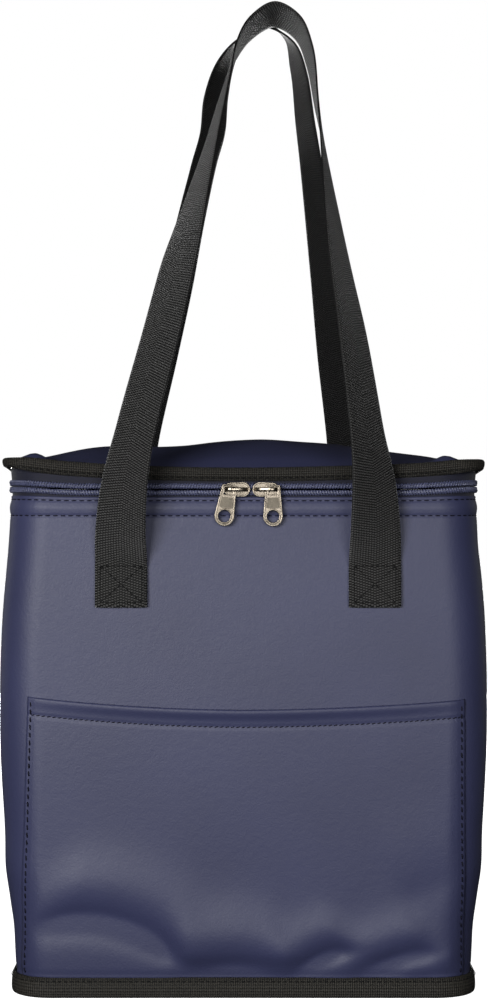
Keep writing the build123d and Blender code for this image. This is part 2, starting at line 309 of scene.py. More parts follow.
def make_piece(name, shape, look, body, *nodes):
    """Piece from points in mm, faces and any UVs; it rides on a body and may stand for CAD nodes."""
    points, faces, *uvs = shape
    material, slot = LOOKS[look]
    mesh = bpy.data.meshes.new(name)
    mesh.from_pydata((points * MM).tolist(), [], faces)
    if uvs:
        mesh.uv_layers.new(name="UVMap").data.foreach_set("uv", np.ravel(uvs))
    shell = bmesh.new()
    shell.from_mesh(mesh)
    bmesh.ops.recalc_face_normals(shell, faces=shell.faces)
    shell.to_mesh(mesh)
    shell.free()
    mesh.polygons.foreach_set("use_smooth", [True] * len(mesh.polygons))
    mesh.materials.append(material)
    piece = add_object(name, mesh)
    if body:
        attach(piece, body)
    if nodes:
        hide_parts(*nodes)
    return piece


def quads(grid):
    """The four corners of each cell of a grid, in order round it."""
    return np.stack([grid[:-1, :-1], grid[:-1, 1:], grid[1:, 1:], grid[1:, :-1]], axis=2)


def grid_uvs(u, v):
    """UVs of a grid's face corners, from the values of its columns and rows."""
    return quads(np.stack(np.meshgrid(u, v), axis=-1)).reshape(-1, 2)


def tube(rings, closed=False):
    """Points, faces and UVs of rings [along, around, 3], capped at both ends unless closed."""
    rows, around, _ = rings.shape
    index = np.arange(rows * around).reshape(rows, around)
    index = np.concatenate([index, index[:, :1]], axis=1)
    if closed:
        index = np.concatenate([index, index[:1]], axis=0)
    faces = quads(index).reshape(-1, 4).tolist()
    uvs = grid_uvs(np.linspace(0, 1, around + 1), np.linspace(0, 1, len(index)))
    if not closed:
        faces += [index[0, -2::-1].tolist(), index[-1, :-1].tolist()]
        uvs = np.concatenate([uvs, np.zeros((2 * around, 2))])
    return rings.reshape(-1, 3), faces, uvs


def sheet_rings(outer, inner):
    """Rings across a sheet, from its outer and inner faces [rows, columns, 3]."""
    return np.swapaxes(np.concatenate([outer, inner[::-1]]), 0, 1)


def patch_sheet(outer, inner):
    """Closed sheet with four free edges, from its outer and inner faces."""
    points, faces, uvs = tube(sheet_rings(outer, inner))
    rows, columns, _ = outer.shape
    around = 2 * rows
    caps = []
    for first in (0, (columns - 1) * around):
        for k in range(first, first + rows - 1):
            across = 2 * first + around - 1 - k
            caps.append([k, k + 1, across - 1, across])
    kept = len(faces) - 2
    uvs = np.concatenate([uvs[: kept * 4], np.zeros((4 * len(caps), 2))])
    return points, faces[:kept] + caps, uvs


def disc(low, high):
    """Closed slab from two stacks of shrinking rings; the last ring, a point, is left out."""
    return tube(np.concatenate([low[-2::-1], high[:-1]]))


def merge(parts):
    """One mesh from several, without UVs."""
    points = []
    faces = []
    count = 0
    for some_points, some_faces, *_ in parts:
        points.append(some_points)
        faces += [[k + count for k in face] for face in some_faces]
        count += len(some_points)
    return np.concatenate(points), faces


def unit(vectors):
    return vectors / np.linalg.norm(vectors, axis=-1, keepdims=True)


def smoothstep(low, high, value):
    t = np.clip((value - low) / (high - low), 0.0, 1.0)
    return t * t * (3 - 2 * t)


def hump(value, centre, width):
    return np.exp(-(((value - centre) / width) ** 2))


def mix(start, end, share):
    return start * (1 - share) + end * share


def squarer(value, power):
    """Signed power, which flattens the round of a sine or cosine."""
    return np.sign(value) * np.abs(value) ** power


def full_turn(count):
    return np.linspace(0, 2 * math.pi, count, endpoint=False)


def points_at(x, y, z):
    """Points [..., 3] from coordinates that need not have the same shape."""
    return np.stack(np.broadcast_arrays(x, y, z), axis=-1)


def run_lengths(curve):
    """Length from the start of a curve to each of its points."""
    return np.concatenate([[0], np.cumsum(np.linalg.norm(np.diff(curve, axis=0), axis=1))])


def read_at(places, run, vectors):
    """Vectors that belong to the lengths in run, read at other lengths."""
    return np.stack([np.interp(places, run, vectors[:, k]) for k in range(3)], axis=1)


def even(curve, samples):
    """The same curve with evenly spaced samples."""
    run = run_lengths(curve)
    return read_at(np.linspace(0, run[-1], samples), run, curve)


def closed_even(path, count):
    """Evenly spaced points round a closed path."""
    return even(np.concatenate([path, path[:1]]), count + 1)[:-1]


def flat_outward(path):
    """Level outward direction of a closed path that runs anticlockwise seen from above."""
    along = np.roll(path, -1, axis=0) - np.roll(path, 1, axis=0)
    return unit(np.cross(along, UP) * [1, 1, 0])


def spline(points, samples):
    """Smooth curve through the points, evenly spaced along its length."""
    points = np.asarray(points, float)
    chords = np.linalg.norm(np.diff(points, axis=0), axis=1) ** 0.5
    knots = np.concatenate([[0], np.cumsum(chords)])
    slopes = np.gradient(points, knots, axis=0)
    t = np.linspace(0, knots[-1], 2000)
    k = np.clip(np.searchsorted(knots, t, side="right") - 1, 0, len(knots) - 2)
    gap = (knots[k + 1] - knots[k])[:, None]
    s = (t - knots[k])[:, None] / gap
    curve = (
        (2 * s**3 - 3 * s**2 + 1) * points[k]
        + (s**3 - 2 * s**2 + s) * gap * slopes[k]
        + (3 * s**2 - 2 * s**3) * points[k + 1]
        + (s**3 - s**2) * gap * slopes[k + 1]
    )
    return even(curve, samples)


def soft_noise(x, y, z, size, seed):
    """Gentle bumps of about the given size, from a few crossed waves."""
    generator = np.random.default_rng(seed)
    total = 0.0
    for _ in range(6):
        way = unit(generator.normal(size=3)) * 2 * math.pi / size * generator.uniform(0.6, 1.4)
        total = total + np.sin(way[0] * x + way[1] * y + way[2] * z + generator.uniform(0, 6.28))
    return total / 6


# ---- the bag's surface ----

PROFILE = spline(np.stack([PROFILE_Z, PROFILE_X, PROFILE_Y], axis=1), 160)


def half_sizes(z):
    """Half width and half depth of the cloth at a height, smooth between the driving heights."""
    return np.interp(z, PROFILE[:, 0], PROFILE[:, 1]), np.interp(z, PROFILE[:, 0], PROFILE[:, 2])


def wall_depth(x, y, z, normal_x, normal_y):
    """How far the soft wall stands out from its plain shape: bow, dimples and sewn grooves."""
    rise = np.clip(np.sin(math.pi * np.clip(z, 0, 290) / 290), 0, 1)
    front = np.clip(-normal_y, 0, 1)
    side = np.abs(normal_x)
    bow = 1.6 * np.cos(np.clip(x / 142, -1, 1) * math.pi / 2) * (1 - side)
    bow = bow + 1.2 * np.cos(np.clip(y / 88, -1, 1) * math.pi / 2) * side
    loose = 0.55 * soft_noise(x, y, z, 95, 3) + 0.25 * soft_noise(x, y, z, 45, 4)
    dimple = -2.0 * hump(z, 36, 12) + 1.6 * hump(z, 72, 14) - hump(z, 262, 9) * (x > 0)
    grooves = sum(-0.45 * hump(z, row, 0.8) for row in STITCH_ROWS)
    band = 0.55 * hump(z, sum(STITCH_ROWS) / 2, 2.6)
    shadow_line = -0.7 * hump(z, BINDING_TOP + 0.5, 2.5)
    soft = bow + loose * (1 - 0.3 * front) + dimple * side
    return soft * rise + grooves + band + shadow_line


def zip_lift(x, y):
    """How much higher the zip runs near the bag's corners than at the middle of the front."""
    corner = smoothstep(92, 136, np.abs(x)) * smoothstep(40, 80, -y)
    return 2.0 * corner + 1.4 * smoothstep(-80, -40, y)


def outline(front=110, side=64, corner=16):
    """Centre factors and normals from the middle of the back, past the left side, and round."""
    stops = [(0, 1), (-1, 1), (-1, -1), (1, -1), (1, 1), (0, 1)]
    centres = []
    angles = []
    for k, count in enumerate([front // 2, side, front, side, front // 2]):
        turn = 90 * (k + 1)
        centres.append(np.linspace(stops[k], stops[k + 1], count, endpoint=False))
        angles.append(np.full(count, turn))
        if k < 4:
            centres.append(np.tile(stops[k + 1], (corner, 1)))
            angles.append(np.linspace(turn, turn + 90, corner, endpoint=False))
    centre_x, centre_y = np.concatenate(centres).T
    turns = np.radians(np.concatenate(angles))
    return centre_x, centre_y, np.cos(turns), np.sin(turns)


def round_box(ring, half_x, half_y, radius):
    """X and Y of an outline on a rectangle with rounded corners."""
    centre_x, centre_y, normal_x, normal_y = ring
    x = centre_x * (half_x - radius) + normal_x * radius
    y = centre_y * (half_y - radius) + normal_y * radius
    return x, y


def place_on_wall(ring, z, lift):
    """Points of an outline on the wall at a height, moved out by lift."""
    _, _, normal_x, normal_y = ring
    x, y = round_box(ring, *half_sizes(z), CORNER)
    out = wall_depth(x, y, z, normal_x, normal_y) + lift
    return points_at(x + normal_x * out, y + normal_y * out, z)


def wall_rows(heights, lifts, ring):
    """Grid [rows, columns, 3] round the bag at the given heights and lifts."""
    lifts = np.broadcast_to(lifts, len(heights))
    return np.array([place_on_wall(ring, height, lift) for height, lift in zip(heights, lifts)])


def back_at(share, z):
    """Points on the flat of the back, for shares from -1 to 1 of its half width."""
    one = np.ones(np.broadcast(share, z).shape)
    return place_on_wall((share * one, one, 0 * one, one), z, 0.0)


def front_at(x, z, lift):
    """Points on the front, and round its corners a little way, for a given x and height."""
    x, z = np.broadcast_arrays(x, z)
    half_x, half_y = half_sizes(z)
    beyond = np.clip((np.abs(x) - (half_x - CORNER)) / CORNER, 0, 0.97)
    normal_x = np.sign(x) * beyond
    normal_y = -np.sqrt(1 - beyond**2)
    base_y = -(half_y - CORNER) + normal_y * CORNER
    out = wall_depth(x, base_y, z, normal_x, normal_y) + lift
    return points_at(x + normal_x * out, base_y + normal_y * out, z)


def facing(surface, *where):
    """Outward directions of a surface function whose last argument is the lift."""
    return unit(surface(*where, 1.0) - surface(*where, 0.0))


# ---- stitches and teeth ----


def round_bar(profile, sides):
    """Bar along X, from (x, radius) pairs."""
    turn = full_turn(sides)
    rings = [points_at(x, radius * np.cos(turn), radius * np.sin(turn)) for x, radius in profile]
    return tube(np.array(rings))


def capsule(length, radius):
    """Small bar along X with rounded ends: a stitch or a loop of the coil."""
    profile = [(-0.5, 0.35), (-0.36, 0.9), (0.0, 1.0), (0.36, 0.9), (0.5, 0.35)]
    return round_bar([(place * length, size * radius) for place, size in profile], 6)


def scatter(shape, places, along, outward):
    """One mesh with a copy of the shape at each place, its X along and its Z outward."""
    points, faces, _ = shape
    along = unit(along)
    across = unit(np.cross(outward, along))
    frames = np.stack([along, across, np.cross(along, across)], axis=1)
    copies = np.einsum("pk,nkj->npj", points, frames) + places[:, None, :]
    return merge([(copy, faces) for copy in copies])


def stitch_row(curve, outward, pitch=STITCH_PITCH, length=2.9, radius=0.36, slant=0.0):
    """Stitches along a dense curve, with the outward direction at each of its points."""
    run = run_lengths(curve)
    count = int(run[-1] / pitch)
    middles = (np.arange(count) + 0.5) * run[-1] / count
    out = unit(read_at(middles, run, outward))
    along = unit(read_at(middles + 0.5, run, curve) - read_at(middles - 0.5, run, curve))
    along = along + slant * np.cross(out, along)
    return scatter(capsule(length, radius), read_at(middles, run, curve), along, out)


# ---- walls, base and lining ----


def make_body_cloth():
    """Outer cloth with a rolled top edge; it stands for the cloth and the foam behind it."""
    ring = outline()
    heights = [1.2, 3.0, 6.0, 9.0, 11.0, *np.arange(12.5, WALL_TOP - 12, 2.2)]
    heights += list(np.arange(WALL_TOP - 12, WALL_TOP, 0.6))
    face = wall_rows(heights, 0.0, ring)
    roll = wall_rows([WALL_TOP + 0.3, WALL_TOP + 0.5, WALL_TOP + 0.2], [-0.2, -0.8, -1.3], ring)
    inner_heights = [1.2, 14, 60, 120, 200, FOAM_TOP, WALL_TOP - 1]
    inner = wall_rows(inner_heights, [-1.6] * 2 + [-5.2] * 4 + [-1.6], ring)
    shape = tube(sheet_rings(np.concatenate([face, roll]), inner), closed=True)
    lift_top_edge(shape[0])
    nodes = ["outer_wrap", "outer_back", "foam_front", "foam_back", "foam_left", "foam_right"]
    make_piece("body_cloth", shape, "navy", "bag", *nodes)


def lift_top_edge(points):
    """Raise the top of the wall a little towards its corners, with the zip."""
    share = smoothstep(WALL_TOP - 14, WALL_TOP, points[:, 2])
    points[:, 2] += 0.4 * share * zip_lift(points[:, 0], points[:, 1])


def make_base():
    """Base cloth, slightly crowned inwards, with the stiffener and foam over it."""
    edge = place_on_wall(outline(60, 40, 10), 2.0, -1.2)
    sizes = np.linspace(1.0, 0.0, 14)[:, None]
    low = edge * sizes[..., None]
    low[..., 2] = 0.25 + 0.9 * smoothstep(0.93, 1.0, sizes)
    high = low.copy()
    high[..., 2] = 11.3
    make_piece("base_panel", disc(low, high), "navy", "bag", "outer_base", "base_board", "foam_base")


def make_lining():
    """Foil lining of the walls and base, with a soft quilted swell and a turned top edge."""
    ring = outline(80, 50, 12)
    heights = [12.0, *np.arange(16, FOAM_TOP, 5.0), FOAM_TOP]
    face = wall_rows(heights, -LINING_INSET - 0.6, ring)
    swell = 0.8 * soft_noise(face[..., 0], face[..., 1], face[..., 2], 38, 9)
    swell *= np.sin(np.clip((face[..., 2] - 12) / (FOAM_TOP - 12), 0, 1) * math.pi)
    face = face + unit(-face * [1, 1, 0]) * swell[..., None]
    top = wall_rows([FOAM_TOP + 0.8, FOAM_TOP + 1.0, FOAM_TOP + 4, 286], [-5.5, -2.6, -2.3, -2.2], ring)
    outer_heights = [12.0, 60, 150, FOAM_TOP - 1, FOAM_TOP + 0.3, 286]
    outer = wall_rows(outer_heights, [-5.9] * 4 + [-1.8] * 2, ring)
    walls = tube(sheet_rings(outer, np.concatenate([face, top])), closed=True)
    make_piece("wall_lining", walls, "foil", "bag", "lining_walls")
    edge = place_on_wall(outline(60, 40, 10), 12.0, -LINING_INSET - 0.9)
    low = edge * np.linspace(1.0, 0.0, 24)[:, None, None]
    low[..., 2] = 11.5
    high = low.copy()
    high[..., 2] = 12.1 + 0.35 * soft_noise(high[..., 0], high[..., 1], 0, 60, 12)
    make_piece("base_lining", disc(low, high), "foil", "bag", "lining_base")


def make_wall_stitches():
    """Two sewn rows below the zip."""
    ring = outline(240, 120, 30)
    rows = []
    for height in STITCH_ROWS:
        curve = place_on_wall(ring, height, 0.12)
        lift_top_edge(curve)
        rows.append(stitch_row(curve, facing(place_on_wall, ring, height)))
    make_piece("zip_band_stitches", merge(rows), "navy_thread", "bag")


def make_back_seams():
    """Two upright seams near the back corners: a raised lap and its stitches."""
    lap_width = 7.0
    heights = np.linspace(13, STITCH_ROWS[0] - 2, 90)
    backward = np.tile([0.0, 1.0, 0.0], (len(heights), 1))
    rows = []
    laps = []
    for side in (-1, 1):
        curve = back_at(side, heights) + [0.0, 0.45, 0.0]
        rows.append(stitch_row(curve - [side * 3.0, 0.0, 0.0], backward))
        laps.append(lap_strip(curve - [side * lap_width, 0.5, 0.0], curve + [side * 0.5, -0.5, 0.0]))
    make_piece("back_seam_stitches", merge(rows), "navy_thread", "bag")
    make_piece("back_seam_laps", merge(laps), "navy", "bag")


def lap_strip(one_edge, other_edge):
    """Thin crowned strip between two edges, standing proud towards the back."""
    rings = []
    for share, out in ((0.0, 0.0), (0.06, 0.75), (0.5, 0.85), (0.94, 0.75), (1.0, 0.0), (0.5, -0.4)):
        rings.append(mix(one_edge, other_edge, share) + [0.0, out, 0.0])
    return tube(np.swapaxes(np.array(rings), 0, 1))


# ---- ribbed bindings ----

RIB_PITCH = 1.3
RIB_DEPTH = 0.45


def ribbed_band(path, outward, upward, height, thickness):
    """Closed ribbon round a closed path: a flattened roll whose ribs run over it."""
    count = len(path)
    run = run_lengths(path)
    ribs = round(run[-1] / RIB_PITCH)
    wave = 0.5 * np.cos(2 * math.pi * ribs * run / (run[-1] + run[-1] / count))[:, None]
    height = np.broadcast_to(height, count)[:, None]
    thickness = np.broadcast_to(thickness, count)[:, None]
    turn = full_turn(16)
    across = squarer(np.cos(turn), 0.85) * (thickness + RIB_DEPTH * wave) / 2
    upright = squarer(np.sin(turn), 0.75) * (height / 2 + 0.4 * RIB_DEPTH * wave)
    rings = path[:, None] + outward[:, None] * across[..., None] + upward[:, None] * upright[..., None]
    points, faces, uvs = tube(rings, closed=True)
    uvs[:, 1] *= ribs
    return points, faces, uvs


def make_binding(name, path, out, lean, height, thickness, row, body, node):
    """Ribbon over an edge, kept off the floor, and the stitch row on its face."""
    points, faces, uvs = ribbed_band(path, out, lean, height, thickness)
    points[:, 2] = np.maximum(points[:, 2], 0.05)
    make_piece(f"{name}_ribbon", (points, faces, uvs), "grosgrain", body, node)
    stitches = stitch_row(row, out, pitch=3.4, length=2.2, radius=0.3)
    make_piece(f"{name}_stitches", stitches, "black_thread", body)


def make_base_binding():
    """Ribbed edge round the base, a little fuller at its corners, with its sewn top row."""
    middle = BINDING_TOP / 2
    path = closed_even(place_on_wall(outline(240, 140, 40), middle, 0.5), 3000)
    out = flat_outward(path)
    corner = smoothstep(104, 132, np.abs(path[:, 0])) * smoothstep(54, 84, np.abs(path[:, 1]))
    path = path + out * (0.9 * corner)[:, None]
    path[:, 2] = middle + 0.175 * soft_noise(path[:, 0], path[:, 1], 0, 120, 21)
    row = path + out * 1.55
    row[:, 2] = BINDING_TOP - 2.2
    lean = unit(UP - out * 0.06)
    make_binding("base_edge", path, out, lean, BINDING_TOP - 0.2, 3.0, row, "bag", "base_binding")


def lid_edge(count):
    """Middle line of the lid's binding: it sags at the middle and its corners turn up and out."""
    reach_x = LID_HALF_X - 1.6
    reach_y = LID_HALF_Y - 1.6
    ring = outline(400, 240, 60)
    x, y = round_box(ring, reach_x, reach_y, 13.0)
    corner = smoothstep(0.72, 1.0, np.abs(x) / reach_x) * smoothstep(0.72, 1.0, np.abs(y) / reach_y)
    x = x + ring[2] * 1.2 * corner
    y = y + ring[3] * 0.8 * corner
    front = smoothstep(-reach_y * 0.2, -reach_y, y)
    climb = np.where(x < 0, 6.6, 4.9) * (np.abs(x) / reach_x) ** 2.1
    side_z = np.where(x < 0, 306.8, 305.6) - 2.0 * np.cos(y / reach_y * math.pi / 2)
    behind = smoothstep(reach_y * 0.55, reach_y, y)
    z = mix(mix(side_z, 302.0 + climb, front), LID_LOW + 4.2, behind)
    z = z + (0.35 * soft_noise(x, y, 0, 60, 33) + 0.8 * corner) * (1 - behind)
    return closed_even(points_at(x, y, z), count)


def make_lid_binding():
    """Ribbed edge of the lid, leaning forward a little, pinched at its corners, and its stitches."""
    path = lid_edge(3200)
    out = flat_outward(path)
    wobble = 0.10 * soft_noise(path[:, 0], path[:, 1], 0, 70, 35)
    corner = smoothstep(0.86, 1.0, np.abs(path[:, 0]) / LID_HALF_X)
    corner = corner * smoothstep(0.55, 0.80, np.abs(path[:, 1]) / LID_HALF_Y)
    lean = unit(UP + out * (0.36 - 0.22 * corner + wobble)[:, None])
    height = 8.8 - np.where(path[:, 0] < 0, 3.6, 2.2) * corner
    row = path + out * 1.6 - UP * 1.9
    make_binding("lid_edge", path, out, lean, height, 3.2 + 1.6 * corner, row, "lid", "lid_binding")


# ---- lid ----

def lid_height(rings):
    """Height of the padded lid's top surface above its bound edge."""
    x = rings[..., 0]
    y = rings[..., 1]
    across = np.clip(1 - np.abs(x / (LID_HALF_X - 3.0)) ** 3.2, 0, 1) ** 0.7
    deep = np.clip(1 - np.abs(y / (LID_HALF_Y - 3.0)) ** 2.0, 0, 1) ** 0.9
    ridge = 2.6 * hump(x, 8, 34) - 1.2 * hump(x, -45, 22)
    ridge = ridge + 1.2 * hump(x, -96, 22) - 2.2 * hump(x, 92, 26)
    pucker = 4.2 * (hump(x, -121, 8) + hump(x, 117, 8)) * hump(y, -76, 8)
    pucker = pucker - 1.6 * (hump(x, -106, 6) + hump(x, 103, 6)) * hump(y, -76, 9)
    creases = 0.5 * soft_noise(x, y, 0, 42, 41) + 0.7 * soft_noise(x, y, 0, 90, 42)
    return 17.0 * across * deep + (ridge + creases) * np.minimum(across, deep) + pucker


def lid_rings(count, rings, inset):
    """Shrinking rings inside the lid's edge, from its rim to its middle."""
    edge = lid_edge(count)
    rim = edge - flat_outward(edge) * inset
    shares = np.linspace(0, 1, rings)[:, None] ** 1.25
    grid = rim * (1 - shares)[..., None]
    grid[..., 2] = mix(rim[:, 2], edge[:, 2].mean(), smoothstep(0.0, 0.25, shares))
    return grid


def make_lid_pad():
    """Padded lid panel: domed on top, bowed underneath."""
    top = lid_rings(420, 40, 0.6)
    top[..., 2] += 1.0 + lid_height(top)
    bottom = lid_rings(420, 16, 0.6)
    bottom[..., 2] += np.clip(lid_height(bottom) - 10.5, 0, None) - 2.0
    piece = make_piece("lid_pad", disc(bottom, top), "navy", "lid", "lid_panel", "lid_foam")


def make_lid_lining():
    """Foil under the lid."""
    low = lid_rings(300, 22, 2.4)
    crinkle = 0.35 * soft_noise(low[..., 0], low[..., 1], 0, 26, 47)
    low[..., 2] += np.clip(lid_height(low) - 11.5, 0, None) + crinkle - 3.0
    make_piece("lid_underside", disc(low, low + UP * 0.6), "foil", "lid", "lid_lining")


# ---- zip ----

TAPE_LOW = 279.0
TOOTH_PITCH = 1.62


def zip_run(count=None, pitch=None):
    """Points along the zip, so many or so far apart, and the outward directions there."""
    path = closed_even(place_on_wall(outline(240, 140, 40), ZIP_Z, 0.0), 900)
    out = flat_outward(path)
    keep = (path[:, 1] <= 0) | (np.abs(path[:, 0]) >= ZIP_END_X)
    start = int(np.argmax(keep & ~np.roll(keep, 1)))
    order = (np.arange(len(path)) + start) % len(path)
    order = order[keep[order]]
    run = run_lengths(path[order])
    places = np.linspace(0, run[-1], count or int(run[-1] / pitch))
    return read_at(places, run, path[order]), unit(read_at(places, run, out[order]))


def tape(run, out, low, high, drop):
    """Closed strip of woven tape along the zip, between two heights at each point."""
    shares = np.linspace(0, 1, 7)[:, None]
    outer = run + out * (drop * shares[..., None] - 0.55)
    outer[..., 2] = mix(low, high, shares)
    return patch_sheet(outer, outer - out * 0.5)


def under_lid_edge(run):
    """Height of the underside of the lid's binding above each point of the zip."""
    edge = lid_edge(1200)
    angle = np.arctan2(edge[:, 1] / LID_HALF_Y, edge[:, 0] / LID_HALF_X)
    order = np.argsort(angle)
    here = np.arctan2(run[:, 1] / LID_HALF_Y, run[:, 0] / LID_HALF_X)
    return np.interp(here, angle[order], edge[order, 2], period=2 * math.pi) - 3.2


def coil_half(side):
    """One half of the coil: slanted loops, their beads, and the cord that they are sewn to."""
    run, out = zip_run(pitch=TOOTH_PITCH)
    if side > 0:
        run = (run + np.concatenate([run[1:], run[-1:]])) / 2
    run[:, 2] += zip_lift(run[:, 0], run[:, 1]) + side * 1.95
    along = unit(np.cross(UP, out))
    loops = scatter(capsule(3.5, 0.62), run + out * 0.55, UP + along * 0.42 * side, out)
    bead_places = run + out * 0.95 + UP * 0.35 * side
    beads = scatter(capsule(1.7, 0.46), bead_places, along + UP * 0.5 * side, out)
    core, core_out = zip_run(700)
    core[:, 2] += zip_lift(core[:, 0], core[:, 1]) + side * 1.9
    turn = full_turn(8)
    rings = core[:, None] + core_out[:, None] * (0.15 + 0.45 * np.cos(turn))[:, None]
    rings[..., 2] += 1.35 * np.sin(turn)
    return merge([loops, beads, tube(rings)])


def make_zip():
    """Lower half on the bag and upper half on the lid."""
    run, out = zip_run(500)
    lower_high = ZIP_Z - 2.2 + zip_lift(run[:, 0], run[:, 1])
    lower = tape(run, out, TAPE_LOW, lower_high, 0.0)
    upper = tape(run, out, ZIP_Z + 0.9, under_lid_edge(run), 0.9)
    make_piece("lower_tape", lower, "tape", "bag", "zip_tape_lower")
    make_piece("upper_tape", upper, "tape", "lid", "zip_tape_upper")
    make_piece("lower_coil", coil_half(-1), "coil", "bag", "zip_coil_lower")
    make_piece("upper_coil", coil_half(1), "coil", "lid", "zip_coil_upper")


def make_rear_strip():
    """Cloth hinge between the back wall and the lid, and its stitches."""
    low = WALL_TOP - 6
    flat_half = 111.5
    x = np.linspace(-ZIP_END_X - 3, ZIP_END_X + 3, 90)[None, :]
    z = np.linspace(low, LID_LOW + 1.8, 15)[:, None]
    swell = 0.5 * np.sin((z - low) / 17 * math.pi)
    outer = points_at(x, back_at(x / flat_half, 288.0)[..., 1] + 0.35 + swell, z)
    shape = patch_sheet(outer, outer - [0.0, 0.9, 0.0])
    strip = make_piece("rear_strip", shape, "navy", None, "rear_hinge_strip")
    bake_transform(strip)
    line = np.linspace(-ZIP_END_X, ZIP_END_X, 200)
    curve = points_at(line, np.interp(line, x[0], outer[1, :, 1]) + 0.12, WALL_TOP - 4.4)
    backward = np.tile([0.0, 1.0, 0.0], (len(line), 1))
    make_piece("rear_strip_stitches", stitch_row(curve, backward), "navy_thread", "bag")


def make_zip_ends():
    """Small cloth tabs over the two ends of the zip at the back."""
    back_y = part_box("zip_end_stops")[1][1] / MM
    z = np.linspace(TAPE_LOW + 0.5, ZIP_Z - 0.6, 12)[:, None]
    tabs = []
    for side in (-1, 1):
        x = side * np.linspace(ZIP_END_X - 1, ZIP_END_X + 8, 10)[None, :]
        outer = points_at(x, back_y - 0.9 + 0.7 * smoothstep(282, 290, z), z)
        tabs.append(patch_sheet(outer, outer - [0.0, 1.0, 0.0]))
    make_piece("zip_end_tabs", merge(tabs), "navy", "bag", "zip_end_stops")


# ---- pocket ----

POCKET_LOW = BINDING_TOP - 1.0
POCKET_SIDE_TOP = 173.0
# x of the side stitch rows, at the foot and at the top
POCKET_LEFT = (-126.7, -122.2)
POCKET_RIGHT = (125.6, 125.4)
POCKET_EDGE = 2.1
POCKET_ROW = POCKET_EDGE / 252
POCKET_HEM = 9.6
POCKET_LEAST = 0.35
POCKET_SOFTNESS = 3.0
FOLDS = [
    # start x, z, end x, z, arch, width, height
    (-116, 49, -30, 24, 13, 11.0, 4.7),
    (-42, 10, 26, 12, 10, 11.0, 6.0),
    (24, 13, 62, 33, 4, 7.5, 4.0),
    (60, 11, 108, 31, 4, 7.5, 4.2),
    (92, 9, 126, 17, 2, 4.5, 2.0),
    (88, 64, 124, 78, 2, 13.0, 0.9),
]


def fold_height(x, z):
    """Soft folds in the pocket's lower part: each lifts above its line and sinks below it."""
    total = 0.0
    for x0, z0, x1, z1, arch, width, height in FOLDS:
        half = math.hypot(x1 - x0, z1 - z0) / 2
        way_x = (x1 - x0) / 2 / half
        way_z = (z1 - z0) / 2 / half
        dx = x - (x0 + x1) / 2
        dz = z - (z0 + z1) / 2
        along = (dx * way_x + dz * way_z) / half
        above = dz * way_x - dx * way_z - arch * (1 - along**2)
        fade = np.exp(-((np.maximum(np.abs(along) - 0.6, 0) / 0.45) ** 2))
        spread = width * (1.5 + 0.5 * np.tanh(above / width))
        total = total + 1.6 * height * above / spread * hump(above, 0, spread) * fade
    return total


def pocket_x(share, z):
    """X on the pocket at a height, for a share of its width."""
    rise = (z - POCKET_LOW) / (POCKET_SIDE_TOP - POCKET_LOW)
    left = mix(*POCKET_LEFT, rise) - POCKET_EDGE
    right = mix(*POCKET_RIGHT, rise) + POCKET_EDGE
    return mix(left, right, share)


def pocket_top(share):
    """Height of the pocket's mouth across its width, share from 0 at the left to 1."""
    from_middle = np.abs(2 * share - 1)
    return 166.4 + 5.6 * from_middle**2 + 1.6 * (1 - share) * from_middle


def pocket_lift(share, x, z):
    """How far the pocket stands off the wall: sewn edges, a slack middle, folds at the foot."""
    rise = (z - POCKET_LOW) / (pocket_top(share) - POCKET_LOW)
    edge = np.clip(np.minimum(share, 1 - share) / 0.035, 0, 1)
    inner = np.clip(np.sin(math.pi * share), 0, 1) ** 0.7
    foot = smoothstep(0.0, 0.10, rise)
    slack = 1.6 + 0.6 * inner * smoothstep(0.25, 1.0, rise)
    grooves = -0.55 * (hump(share, POCKET_ROW, 0.004) + hump(share, 1 - POCKET_ROW, 0.004))
    folds = fold_height(x, z) * smoothstep(0, 0.05, share) * smoothstep(0, 0.05, 1 - share)
    lift = slack * mix(0.35, 1.0, edge) * mix(0.55, 1.0, foot) + grooves + folds * mix(0.3, 1.0, foot)
    return POCKET_LEAST + np.logaddexp(0, (lift - POCKET_LEAST) * POCKET_SOFTNESS) / POCKET_SOFTNESS


def on_pocket(share, z, extra):
    """Points on the pocket's face."""
    x = pocket_x(share, z)
    return front_at(x, z, pocket_lift(share, x, z) + extra)


def make_pocket():
    """Slip pocket with a rolled double hem, slack at its mouth and creased at its foot."""
    share = np.linspace(0, 1, 190)[None, :]
    rise = np.concatenate([np.linspace(0, 0.9, 90), np.linspace(0.9, 1, 22)[1:]])[:, None]
    top = pocket_top(share)
    z = mix(POCKET_LOW, top, rise)
    x = pocket_x(share, z)
    mouth = np.clip(np.sin(math.pi * share), 0, 1) ** 0.4
    roll = 2.3 * hump(top - z, 0.9, 4.0) * mouth - 0.45 * hump(top - z, POCKET_HEM, 1.1)
    lift = pocket_lift(share, x, z) + roll
    outer = [front_at(x, z, lift)]
    inner = [front_at(x, np.minimum(z, top - 1.0), np.maximum(lift - 2.4, 0.15))]
    for down, back in ((-0.6, 0.6), (-0.4, 1.6), (0.8, 2.4)):
        outer.append(front_at(x[-1:], z[-1:] - down, lift[-1:] - back))
        inner.append(inner[0][-1:])
    shape = patch_sheet(np.concatenate(outer), np.concatenate(inner))
    make_piece("pocket_panel", shape, "navy", "bag", "front_pocket")


